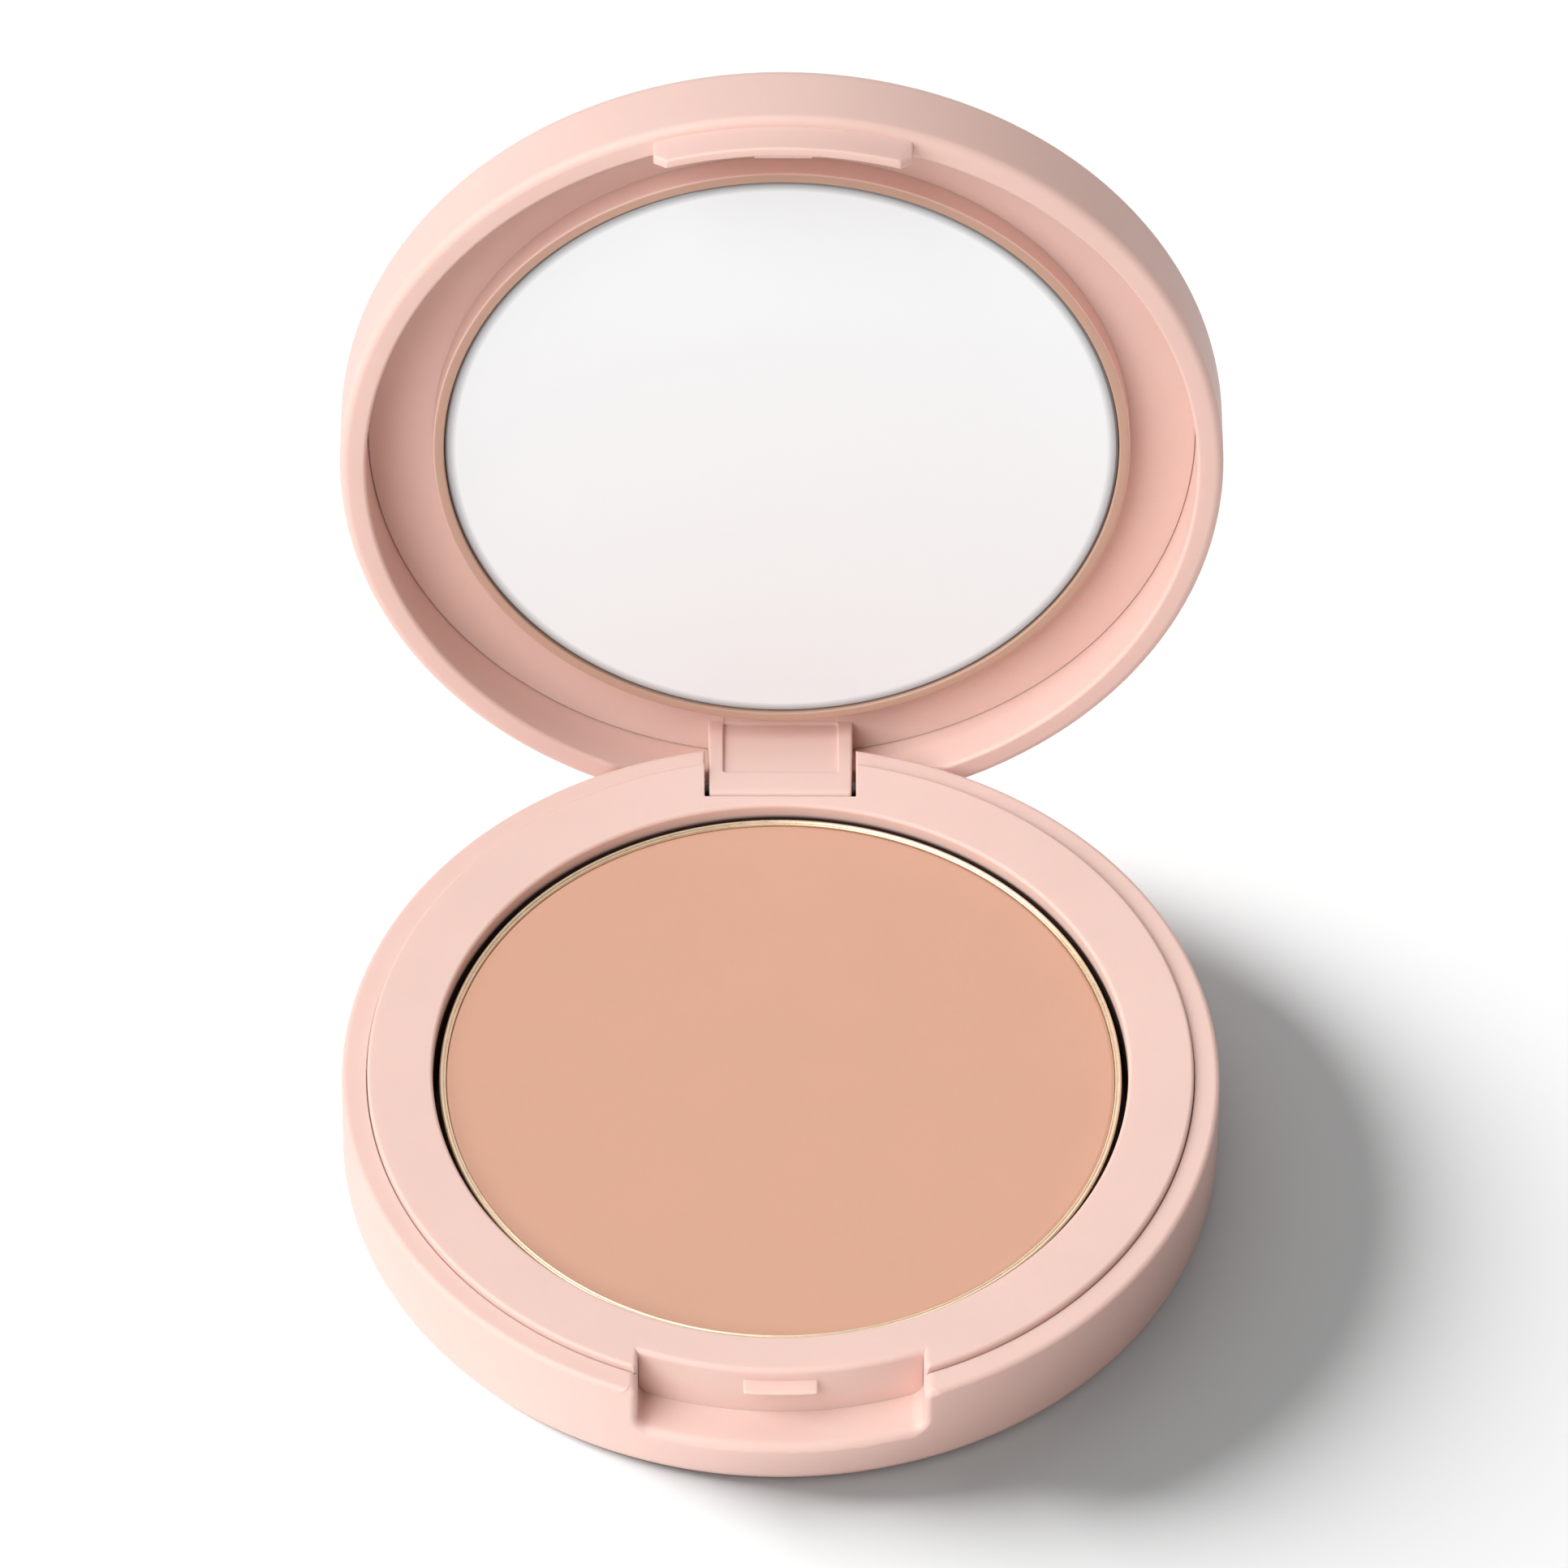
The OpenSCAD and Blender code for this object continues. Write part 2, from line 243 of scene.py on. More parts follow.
def lathe(profile, segments=SEGMENTS):
    """A solid turned round Z from (radius, z) points."""
    mesh = bmesh.new()
    rings = []
    for r, z in profile:
        count = segments if r else 1
        turns = [math.tau * i / count for i in range(count)]
        rings.append([mesh.verts.new(Vector((r * math.cos(a), r * math.sin(a), z)) * MM) for a in turns])
    pairs = list(zip(rings, rings[1:]))
    if len(rings[0]) > 1:
        pairs.append((rings[-1], rings[0]))
    for a, b in pairs:
        bridge(mesh, a, b)
    return finished(mesh)


def stack(outline, levels, place):
    """A solid through copies of an outline, one for each (growth, depth) level.

    place(u, v, depth) says where a point of the outline lies.
    """
    mesh = bmesh.new()
    rings = [[mesh.verts.new(Vector(place(u, v, depth)) * MM) for u, v in grown(outline, growth)]
             for growth, depth in levels]
    for a, b in zip(rings, rings[1:]):
        bridge(mesh, a, b)
    # Each end is closed with strips between the two halves of its outline
    for ring in (rings[0], rings[-1]):
        half = len(ring) // 2
        for i in range(half - 1):
            mesh.faces.new([ring[i], ring[i + 1], ring[-2 - i], ring[-1 - i]])
        if len(ring) % 2:
            mesh.faces.new([ring[half - 1], ring[half], ring[half + 1]])
    return finished(mesh)


def box_outline(x0, x1, y0, y1, radius=0.0):
    """A rectangle, counterclockwise, whose lower and upper edges face each other point for point."""
    return dense(rounded([(x0, y0, radius), (x1, y0, radius), (x1, y1, radius), (x0, y1, radius)]))


def on_front(x, z, r):
    """Place on an upright cylinder of radius r, on its front side."""
    return x, -math.sqrt(r * r - x * x), z


def on_back(x, z, r):
    """Place on an upright cylinder of radius r, on its back side."""
    return x, math.sqrt(r * r - x * x), z


def upright(x, y, z):
    """Place of a point of a plan."""
    return x, y, z


def rod(radius, x0, x1):
    """A round bar along the hinge pin's axis."""
    mesh = lathe([(0, x0), (radius, x0), (radius, x1), (0, x1)], segments=48)
    mesh.transform(ALONG_PIN)
    return mesh


def as_object(mesh, name):
    """An object in the scene that holds the mesh."""
    data = bpy.data.meshes.new(name)
    mesh.to_mesh(data)
    mesh.free()
    obj = bpy.data.objects.new(name, data)
    bpy.context.scene.collection.objects.link(obj)
    return obj


def carved(mesh, steps):
    """The mesh after each (operation, tool mesh) step of adding to it or cutting from it."""
    body = as_object(mesh, "body")
    tools = []
    for operation, tool in steps:
        tools.append(as_object(tool, "tool"))
        modifier = body.modifiers.new(operation, "BOOLEAN")
        modifier.operation, modifier.object, modifier.solver = operation, tools[-1], "MANIFOLD"
    made = body.evaluated_get(bpy.context.evaluated_depsgraph_get()).to_mesh()
    result = bmesh.new()
    result.from_mesh(made)
    for obj in [body, *tools]:
        bpy.data.objects.remove(obj)
    bmesh.ops.remove_doubles(result, verts=result.verts, dist=WELD * MM)
    bmesh.ops.dissolve_degenerate(result, dist=SLIVER * MM, edges=result.edges)
    return finished(result)


def piece(name, mesh, body, node, material, opened=False, sharp=32):
    """A finished piece that stands for a CAD node: smooth, with crisp edges only above the sharp angle."""
    if opened:
        mesh.transform(OPENED)
    obj = as_object(mesh, name)
    obj.data.shade_smooth()
    obj.data.set_sharp_from_angle(angle=math.radians(sharp))
    weighted = obj.modifiers.new("normals", "WEIGHTED_NORMAL")
    weighted.keep_sharp = True
    weighted.weight = 100
    obj.data.materials.append(material)
    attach(obj, body)
    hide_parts(node)
    return obj


# ---------------------------------------------------------------- materials

PINK = (0.80, 0.57, 0.515)
TAN = (0.54, 0.35, 0.27)
POWDER = (0.651, 0.368, 0.267)
CHAMPAGNE = (0.93, 0.78, 0.57)
# The pin's steel is painted nearly black, as painted shade, so that it reads dark in the hinge's gap
SHADE_DARK_STEEL = (0.16, 0.15, 0.15)
# Nearly black painted shade, for the deep gaps below the pan's rim and inside the hinge's slot
PAINTED_SHADE_BLACK = (0.06, 0.035, 0.03)
# The mirror's pale colour is a painted reflection of bright surroundings, and its edge colour is painted
# shade
PAINTED_REFLECTION, PAINTED_EDGE_SHADE = (0.87, 0.92, 0.955), (0.20, 0.20, 0.21)
GLUE_WHITE, LABEL_WHITE = (0.86, 0.85, 0.80), (0.88, 0.86, 0.83)

# Width of the painted shade at the mirror's edge
MIRROR_EDGE_SHADE = 1.0

# Numbers of the colour mixing node's sockets, whose names are not unique
MIX_MASK, MIX_FIRST, MIX_SECOND, MIX_RESULT = 0, 6, 7, 2


class Nodes:
    """A material with a Principled shader, and short ways to add the nodes that drive it."""

    def __init__(self, name, **sockets):
        self.material = bpy.data.materials.new(name)
        self.material.use_nodes = True
        self.tree = self.material.node_tree
        self.shader = self.tree.nodes["Principled BSDF"]
        for socket, value in sockets.items():
            self.shader.inputs[socket.replace("_", " ")].default_value = value
        self.place = self.node("ShaderNodeTexCoord").outputs["Object"]

    def node(self, kind, links=None, **settings):
        """A new node, with settings for its properties and sockets, and links from other nodes."""
        made = self.tree.nodes.new(kind)
        for key, value in settings.items():
            if hasattr(made, key):
                setattr(made, key, value)
            else:
                made.inputs[key.replace("_", " ")].default_value = value
        for socket, source in (links or {}).items():
            self.tree.links.new(source, made.inputs[socket])
        return made

    def noise(self, size_mm, detail=3.0, place=None):
        """Noise with features of about the given size."""
        links = {"Vector": place or self.place}
        return self.node("ShaderNodeTexNoise", links, Scale=1 / (size_mm * MM), Detail=detail).outputs["Fac"]

    def ramp(self, source, dark, light, low=0.3, high=0.7):
        """A colour that runs from dark to light as the source goes from low to high."""
        made = self.node("ShaderNodeValToRGB", {"Fac": source})
        for stop, position, colour in zip(made.color_ramp.elements, (low, high), (dark, light)):
            stop.position, stop.color = position, (*colour, 1)
        return made.outputs["Color"]

    def span(self, source, low, high):
        """A number that runs from low to high as the source goes from 0.25 to 0.75."""
        links = {"Value": source}
        made = self.node("ShaderNodeMapRange", links, From_Min=0.25, From_Max=0.75, To_Min=low, To_Max=high)
        return made.outputs["Result"]

    def step(self, source, start_mm, end_mm):
        """A number that goes from 0 to 1 as a length goes from start to end, in millimetres."""
        made = self.node("ShaderNodeMapRange", {"Value": source})
        made.inputs["From Min"].default_value = start_mm * MM
        made.inputs["From Max"].default_value = end_mm * MM
        return made.outputs["Result"]

    def both(self, a, b):
        """Mask of the places that are in both masks."""
        return self.node("ShaderNodeMath", {0: a, 1: b}, operation="MULTIPLY").outputs["Value"]

    def mixed(self, mask, first, second):
        """The first colour, and where the mask is 1 the second, which is a plain colour."""
        made = self.node("ShaderNodeMix", {MIX_MASK: mask, MIX_FIRST: first}, data_type="RGBA")
        made.inputs[MIX_SECOND].default_value = (*second, 1)
        return made.outputs[MIX_RESULT]

    def bump(self, source, depth_mm, normal=None):
        """Normals of a surface that rises by the given depth with its source, over other normals."""
        links = {"Height": source}
        if normal:
            links["Normal"] = normal
        return self.node("ShaderNodeBump", links, Strength=1.0, Distance=depth_mm * MM).outputs["Normal"]

    def link(self, source, socket):
        """Lets a source drive a socket of the shader."""
        self.tree.links.new(source, self.shader.inputs[socket])


def shaded(colour, share):
    """The colour made darker or lighter."""
    return tuple(c * share for c in colour)


def moulded_plastic(name, colour, roughness=0.5, mask=None, second=None):
    """Soft-touch moulded plastic: an even colour, a very fine grain and a faint flow in its gloss.

    mask(m) is 1 where the second colour shows instead of the first; that colour is painted shade or painted
    light.
    """
    m = Nodes(name, Specular_IOR_Level=0.35, Subsurface_Weight=0.28, Subsurface_Scale=1.6 * MM,
              Subsurface_Radius=(1.0, 0.35, 0.2))
    cloud, flow, grain = m.noise(9, 2), m.noise(0.9), m.noise(0.16, 2)
    surface_colour = m.ramp(cloud, shaded(colour, 0.985), shaded(colour, 1.01))
    if mask:
        surface_colour = m.mixed(mask(m), surface_colour, second)
    m.link(surface_colour, "Base Color")
    m.link(m.span(flow, roughness - 0.04, roughness + 0.05), "Roughness")
    m.link(m.bump(grain, 0.006), "Normal")
    return m.material


def well_shade_mask(m):
    """Mask of the well's wall and floor below the rim of the pan, which get nearly black painted shade."""
    axis = m.node("ShaderNodeVectorMath", {0: m.place}, operation="MULTIPLY")
    axis.inputs[1].default_value = (1, 1, 0)
    away = m.node("ShaderNodeVectorMath", {0: axis.outputs["Vector"]}, operation="LENGTH").outputs["Value"]
    z = m.node("ShaderNodeSeparateXYZ", {"Vector": m.place}).outputs["Z"]
    width = m.step(away, WELL_WALL_R, WELL_WALL_R - 0.2)
    height = m.step(z, PAN_TOP_Z - 0.05, PAN_TOP_Z - 0.45)
    return m.both(width, height)


def slot_shade_mask(m):
    """Mask of the faces of the hinge's slot, from the shell's plate to just below its shoulder, which get
    nearly black painted shade.
    """
    x, y, z = m.node("ShaderNodeSeparateXYZ", {"Vector": m.place}).outputs
    across = m.node("ShaderNodeMath", {0: x}, operation="ABSOLUTE").outputs["Value"]
    width = m.step(across, SLOT_HALF_W + 0.1, SLOT_HALF_W + 0.02)
    depth = m.both(m.step(y, CASE_R - 1.4, CASE_R - 2), m.step(y, SLOT_RELIEF_Y - 1, SLOT_RELIEF_Y - 0.5))
    height = m.both(m.step(z, SHOULDER_Z - 0.6, SHOULDER_Z - 1.2), m.step(z, PLATE_T, PLATE_T + 0.4))
    return m.both(width, m.both(depth, height))


def from_mirror(m):
    """Distance from the middle of the mirror."""
    away = m.node("ShaderNodeVectorMath", {0: m.place}, operation="DISTANCE")
    lowest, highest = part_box("mirror_glass")
    away.inputs[1].default_value = (lowest + highest) / 2
    return away.outputs["Value"]


def ring_side_painted_light(m):
    """Mask of the outer side of the mirror's ring, which is painted in the lid's lighter pink as painted
    light over the shade that falls there.
    """
    return m.step(from_mirror(m), BEZEL_R - 0.12, BEZEL_R - 0.04)


def pressed_powder(name, colour):
    """Pressed powder: chalky, with fine grains and a faint cloudiness."""
    m = Nodes(name, Specular_IOR_Level=0.15, Sheen_Weight=0.08, Sheen_Roughness=0.5)
    cloud, chalk, grains, waves = m.noise(7, 4), m.noise(0.4), m.noise(0.12, 2), m.noise(1.6, 2)
    m.link(m.ramp(cloud, shaded(colour, 0.985), shaded(colour, 1.01)), "Base Color")
    m.link(m.span(chalk, 0.86, 0.98), "Roughness")
    m.link(m.bump(grains, 0.01, m.bump(waves, 0.006)), "Normal")
    return m.material


def drawn_metal(name, colour, roughness):
    """Thin drawn metal, with a faint change of tone and gloss and a very fine grain."""
    m = Nodes(name, Metallic=0.8)
    tone, gloss, grain = m.noise(1.5), m.noise(0.5), m.noise(0.2, 2)
    m.link(m.ramp(tone, shaded(colour, 0.93), shaded(colour, 1.03)), "Base Color")
    m.link(m.span(gloss, roughness - 0.05, roughness + 0.08), "Roughness")
    m.link(m.bump(grain, 0.002), "Normal")
    return m.material


def mirror_glass(name, colour, edge_shade):
    """Mirror glass whose pale colour is a painted reflection of bright surroundings, darkening to a soft
    grey painted shade towards the edge.
    """
    m = Nodes(name, Specular_IOR_Level=0.3, Coat_Weight=0.25, Coat_Roughness=0.02)
    edge = m.step(from_mirror(m), MIRROR_R - MIRROR_EDGE_SHADE, MIRROR_R)
    m.link(m.ramp(edge, colour, edge_shade, 0, 1), "Base Color")
    m.link(m.span(m.noise(20, 1), 0.08, 0.12), "Roughness")
    return m.material


def paper(name, colour, fibre_mm):
    """Matt paper or tissue, with fibres of the given size."""
    m = Nodes(name, Specular_IOR_Level=0.2)
    m.link(m.ramp(m.noise(fibre_mm * 4, 4), shaded(colour, 0.96), shaded(colour, 1.0)), "Base Color")
    m.link(m.span(m.noise(fibre_mm), 0.75, 0.92), "Roughness")
    m.link(m.bump(m.noise(fibre_mm, 3), 0.01), "Normal")
    return m.material


case_plastic = moulded_plastic("case_plastic", PINK)
# The shell and the deck carry nearly black painted shade in the hinge's slot and below the pan's rim
shell_plastic = moulded_plastic("shell_plastic", PINK, mask=slot_shade_mask, second=PAINTED_SHADE_BLACK)
deck_plastic = moulded_plastic("deck_plastic", PINK, mask=well_shade_mask, second=PAINTED_SHADE_BLACK)
# The ring's outer side is painted in the lid's pink, as painted light over the shade that falls there
bezel_plastic = moulded_plastic("bezel_plastic", TAN, 0.55, mask=ring_side_painted_light, second=PINK)
powder = pressed_powder("powder", POWDER)
pan_metal = drawn_metal("pan_metal", CHAMPAGNE, 0.3)
pin_steel = drawn_metal("pin_steel", SHADE_DARK_STEEL, 0.35)
mirror = mirror_glass("mirror", PAINTED_REFLECTION, PAINTED_EDGE_SHADE)
adhesive = paper("adhesive", GLUE_WHITE, 0.5)
label_paper = paper("label_paper", LABEL_WHITE, 0.25)


# ---------------------------------------------------------------- base

def base_shell():
    """Outer shell, with the thumb recess, the slot and ears of the hinge, and the label's pocket."""
    body = lathe(rounded([
        (0, LABEL_POCKET, 0), (LABEL_POCKET_R, LABEL_POCKET, 0.1), (LABEL_POCKET_R, 0, 0.12),
        (CASE_R, 0, FOOT_ROUND), (CASE_R, SHOULDER_Z, EDGE_ROUND), (SHELL_IN_R, SHOULDER_Z, 0.12),
        (SHELL_IN_R, PLATE_T, 0.3), (0, PLATE_T, 0)]))
    half = RECESS_HALF_W + CHEEK_T
    low_z, high_z, wall_r = PLATE_T - LAP, DECK_UNDER_Z - GAP, SHELL_IN_R + 0.5
    floor_block = stack(box_outline(-half, half, low_z, high_z), [(0, RECESS_WALL_R), (0, wall_r)], on_front)
    ears = stack(box_outline(-EAR_X, EAR_X, low_z, high_z), [(0, WELL_WALL_R + GAP), (0, wall_r)], on_back)
    recess = stack(notch(RECESS_HALF_W, RECESS_Z, RECESS_CORNER, SHOULDER_Z, RECESS_ROUND),
                   [(0, RECESS_WALL_R - 1), (0, CASE_R - 2)]
                   + outlet(RECESS_ROUND, CASE_R, last_growth=0.42, beyond=BEYOND), on_front)
    slot = stack(notch(SLOT_HALF_W, SLOT_SILL_Z, SLOT_SILL_CORNER, SHOULDER_Z, SLOT_SHELL_ROUND),
                 [(0, SLOT_RELIEF_Y - 1), (0, CASE_R - 2)]
                 + outlet(SLOT_SHELL_ROUND, CASE_R, last_growth=0.2, beyond=BEYOND), on_back)
    bore = rod(PIN_BORE_R, -PIN_HALF - 0.4, CASE_R)
    return carved(body, [("UNION", floor_block), ("UNION", ears), ("DIFFERENCE", recess),
                         ("DIFFERENCE", slot), ("DIFFERENCE", bore)])


def recess_plan(steps=48):
    """Plan of the notch in the deck in front of the recess's wall, counterclockwise."""
    across = [RECESS_HALF_W * (1 - 2 * i / steps) for i in range(steps + 1)]
    wall = [(x, -math.sqrt(RECESS_WALL_R ** 2 - x * x)) for x in across]
    edge_y = -math.sqrt(DECK_R ** 2 - RECESS_HALF_W ** 2)
    side = [(-RECESS_HALF_W - g, edge_y - z) for g, z in flare(RECESS_SIDE_ROUND)]
    side.append((side[-1][0], edge_y - BEYOND))
    return wall + side + [(-x, y) for x, y in reversed(side)]


def slot_plan():
    """Plan of the slot in the deck for the lid's lug, counterclockwise."""
    edge_y = math.sqrt(DECK_R ** 2 - SLOT_HALF_W ** 2)
    side = arc(SLOT_HALF_W - SLOT_CORNER, SLOT_FRONT_Y + SLOT_CORNER, SLOT_CORNER, -90, 0, 4)
    side += [(SLOT_HALF_W + g, edge_y + z) for g, z in flare(SLOT_SIDE_ROUND)]
    side.append((side[-1][0], edge_y + BEYOND))
    return [(-x, y) for x, y in reversed(side)] + side


def base_frame():
    """Deck, well, skirt and the wall of the thumb recess with its catch."""
    body = lathe(rounded([
        (0, SEAT_Z, 0), (WELL_R, SEAT_Z, 0.2), (WELL_R, DECK_Z, DECK_ROUND), (DECK_R, DECK_Z, DECK_ROUND),
        (DECK_R, DECK_UNDER_Z, 0), (SKIRT_OUT_R, DECK_UNDER_Z, 0), (SKIRT_OUT_R, SKIRT_LOW_Z, 0.2),
        (SKIRT_IN_R, SKIRT_LOW_Z, 0.2), (SKIRT_IN_R, DECK_UNDER_Z, 0.2), (WELL_WALL_R, DECK_UNDER_Z, 0.2),
        (WELL_WALL_R, SEAT_Z - SEAT_T, 0.3), (0, SEAT_Z - SEAT_T, 0)]))
    half, face_half = RECESS_HALF_W + CHEEK_T + GAP, RECESS_HALF_W - 0.05
    cut_z, join_z, clear_r = DECK_UNDER_Z - 0.02, DECK_UNDER_Z + 0.4, DECK_R + 4
    from_below = [(0, -1), (0, 5)]
    skirt_gap = stack(box_outline(-half, half, 0, cut_z), [(0, RECESS_WALL_R), (0, clear_r)], on_front)
    wall = stack(box_outline(-half - 0.9, half + 0.9, SKIRT_LOW_Z, join_z),
                 [(0, RECESS_WALL_R - 1), (0, RECESS_WALL_R - 0.01)], on_front)
    face = stack(box_outline(-face_half, face_half, SKIRT_LOW_Z, join_z),
                 [(0, RECESS_WALL_R - 0.6), (0, RECESS_WALL_R + 0.5)], on_front)
    notch_cut = stack(recess_plan(), from_below
                      + outlet(RECESS_DECK_ROUND, DECK_Z, last_growth=0.42, beyond=5), upright)

    def on_catch(x, z, r):
        """Place on the catch, which gets thinner towards its tip."""
        thinner = 1 - CATCH_TAPER * max(0, r - RECESS_WALL_R)
        return on_front(x, CATCH_LOW_Z + z * thinner, r)

    catch = stack(box_outline(-CATCH_W / 2, CATCH_W / 2, 0, CATCH_H, CATCH_ROUND + 0.04),
                  bull(CATCH_ROUND, RECESS_WALL_R - 0.8, RECESS_WALL_R + CATCH_OUT), on_catch)
    ear_gap = stack(box_outline(-EAR_X - GAP, EAR_X + GAP, 0, cut_z),
                    [(0, WELL_WALL_R + GAP / 2), (0, clear_r)], on_back)
    slot = stack(slot_plan(), from_below + outlet(SLOT_ROUND, DECK_Z, last_growth=0.12, beyond=5), upright)
    relief = stack(box_outline(-SLOT_HALF_W, SLOT_HALF_W, SLOT_RELIEF_Y, DECK_R + 2),
                   [(0, -1), (0, DECK_UNDER_Z + LAP)], upright)
    return carved(body, [("DIFFERENCE", skirt_gap), ("UNION", wall), ("UNION", face),
                         ("DIFFERENCE", notch_cut), ("UNION", catch), ("DIFFERENCE", ear_gap),
                         ("DIFFERENCE", slot), ("DIFFERENCE", relief)])


def powder_pan():
    """Drawn metal pan with a rolled rim: an outer bead, a fine groove and a small inner bead."""
    bead_r, lip_r, overhang, wall, foot_r = 0.2, 0.12, 0.3, 0.3, 0.9
    bead = (PAN_R - bead_r, PAN_TOP_Z - bead_r)
    lip = (CAKE_R + 0.04 + lip_r, PAN_TOP_Z - lip_r - 0.06)
    foot = (PAN_R - overhang - foot_r, PAN_LOW_Z + foot_r)
    return lathe([(0, PAN_LOW_Z + wall), (0, PAN_LOW_Z)]
                 + arc(*foot, foot_r, 270, 360)
                 + arc(*bead, bead_r, -100, 150, 12)
                 + arc(*lip, lip_r, 50, 180, 6)
                 + arc(*foot, foot_r - wall, 360, 270))


def powder_cake():
    """Pressed powder, flat on top, with a soft edge where the press met the pan."""
    return lathe(rounded([
        (0, CAKE_LOW_Z, 0), (CAKE_R, CAKE_LOW_Z, 0.9), (CAKE_R, CAKE_TOP_Z - 0.1, 0.05),
        (CAKE_R - 0.25, CAKE_TOP_Z, 0.3), (0, CAKE_TOP_Z, 0)]))


def hinge_pin():
    """Steel pin with chamfered ends."""
    end_r, chamfer = PIN_R - 0.25, 0.3
    mesh = lathe([(0, -PIN_HALF), (end_r, -PIN_HALF), (PIN_R, chamfer - PIN_HALF),
                  (PIN_R, PIN_HALF - chamfer), (end_r, PIN_HALF), (0, PIN_HALF)], segments=64)
    mesh.transform(ALONG_PIN)
    return mesh


# ---------------------------------------------------------------- lid

def lid_shell():
    """Cup of the lid, with its latch tab at the front and the arch that clears the base at the back."""
    body = lathe(rounded([
        (0, LID_TOP_Z, 0), (LID_R, LID_TOP_Z, LID_ROUND), (LID_R, RIM_Z, RIM_OUT_ROUND),
        (LID_IN_R, RIM_Z, RIM_IN_ROUND), (LID_IN_R, LINER_TOP_Z + 0.05, 0.1), (0, LINER_TOP_Z + 0.05, 0)]))
    half = TAB_W / 2
    low_z, high_z = RIM_Z - TAB_DROP, RIM_Z + 1
    tab = stack(dense(rounded([
        (-half, low_z + TAB_CORNER, TAB_ROUND), (-half + TAB_CORNER, low_z, TAB_ROUND),
        (half - TAB_CORNER, low_z, TAB_ROUND), (half, low_z + TAB_CORNER, TAB_ROUND),
        (half, high_z, 0.3), (-half, high_z, 0.3)])), bull(TAB_EDGE_ROUND, TAB_IN_R, TAB_OUT_R), on_front)
    ridge = stack(rounded([
        (TAB_IN_R + 0.4, RIDGE_TOP_Z, RIDGE_ROUND), (RIDGE_IN_R, RIDGE_TOP_Z, RIDGE_ROUND),
        (TAB_IN_R, low_z + 0.1, RIDGE_ROUND), (TAB_IN_R + 0.4, low_z + 0.3, RIDGE_ROUND)]),
        bull(RIDGE_ROUND - 0.02, -RIDGE_W / 2, RIDGE_W / 2), lambda r, z, x: on_front(x, z, r))
    arch_r = (ARCH_HALF_W ** 2 + ARCH_H ** 2) / (2 * ARCH_H)
    reach = math.degrees(math.asin((ARCH_HALF_W + 0.6) / arch_r))
    outline = arc(0, RIM_Z + ARCH_H - arch_r, arch_r, 90 - reach, 90 + reach, 60)
    outline += [(outline[-1][0], RIM_Z - 3), (outline[0][0], RIM_Z - 3)]
    inwards = outlet(ARCH_ROUND, LID_IN_R, last_growth=0.28, beyond=-4)
    outwards = outlet(ARCH_ROUND, LID_R, last_growth=0.28, beyond=4)
    arch = stack(outline, inwards[::-1] + outwards, on_back)
    return carved(body, [("UNION", tab), ("UNION", ridge), ("DIFFERENCE", arch)])


def hinge_lug():
    """Lug that hangs from the lid's floor, narrower at its tip, with a back that follows the lid's wall."""
    half = LUG_W / 2

    def place(y, z, x):
        """Place on the lug: narrower lower down, and pulled in at the back where the lid's wall curves."""
        pull = LINER_R - math.sqrt(LINER_R ** 2 - x * x)
        narrow = 1 - LUG_DRAFT * max(0, FLOOR_Z - z) / (FLOOR_Z - LUG_TIP_Z)
        return x * narrow, y - pull * (y - LUG_FRONT_Y) / (LINER_R - LUG_FRONT_Y), z

    outline = rounded([(LUG_FRONT_Y, LUG_TIP_Z, 0.6), (LINER_R - 0.02, LUG_TIP_Z, 1.6),
                       (LINER_R - 0.02, FLOOR_Z + 0.7, 0.3), (LUG_FRONT_Y, FLOOR_Z + 0.7, 0.3)], 8)
    return stack(outline, bull(LUG_ROUND, -half, half), place)


def lid_liner():
    """Inner floor of the lid with the hinge lug."""
    body = lathe(rounded([
        (0, MIRROR_SEAT_Z, 0), (MIRROR_R, MIRROR_SEAT_Z, 0.05), (MIRROR_R, FLOOR_Z, 0.1),
        (LINER_R, FLOOR_Z, 0.12), (LINER_R, LINER_TOP_Z, 0.1), (0, LINER_TOP_Z, 0)]))
    half = LUG_W / 2 - LUG_LEG
    outline = box_outline(-half, half, LUG_TIP_Z + LUG_BAR, FLOOR_Z - 0.05, 0.25)
    levels = [(0, LUG_POCKET)] + outlet(LUG_POCKET_ROUND, 0, last_growth=0.18, beyond=-3)
    pocket = stack(outline, levels, lambda x, z, y: (x, LUG_FRONT_Y + y, z))
    bore = rod(LUG_BORE_R, -LUG_W, LUG_W)
    return carved(body, [("UNION", hinge_lug()), ("DIFFERENCE", pocket), ("DIFFERENCE", bore)])


def mirror_bezel():
    """Ring that holds the mirror, with rounded edges."""
    return lathe(rounded([(BEZEL_IN_R, FLOOR_Z, 0), (BEZEL_IN_R, BEZEL_Z, 0.15),
                          (BEZEL_R, BEZEL_Z, 0.22), (BEZEL_R, FLOOR_Z, 0)]))


def mirror_disc():
    """Glass of the mirror, with a wide chamfer on its face and a narrow one on its back."""
    wide, narrow = 0.25, 0.1
    back_z = MIRROR_Z + MIRROR_T
    return lathe([(0, back_z), (MIRROR_R - narrow, back_z), (MIRROR_R, back_z - narrow),
                  (MIRROR_R, MIRROR_Z + wide), (MIRROR_R - wide, MIRROR_Z), (0, MIRROR_Z)])


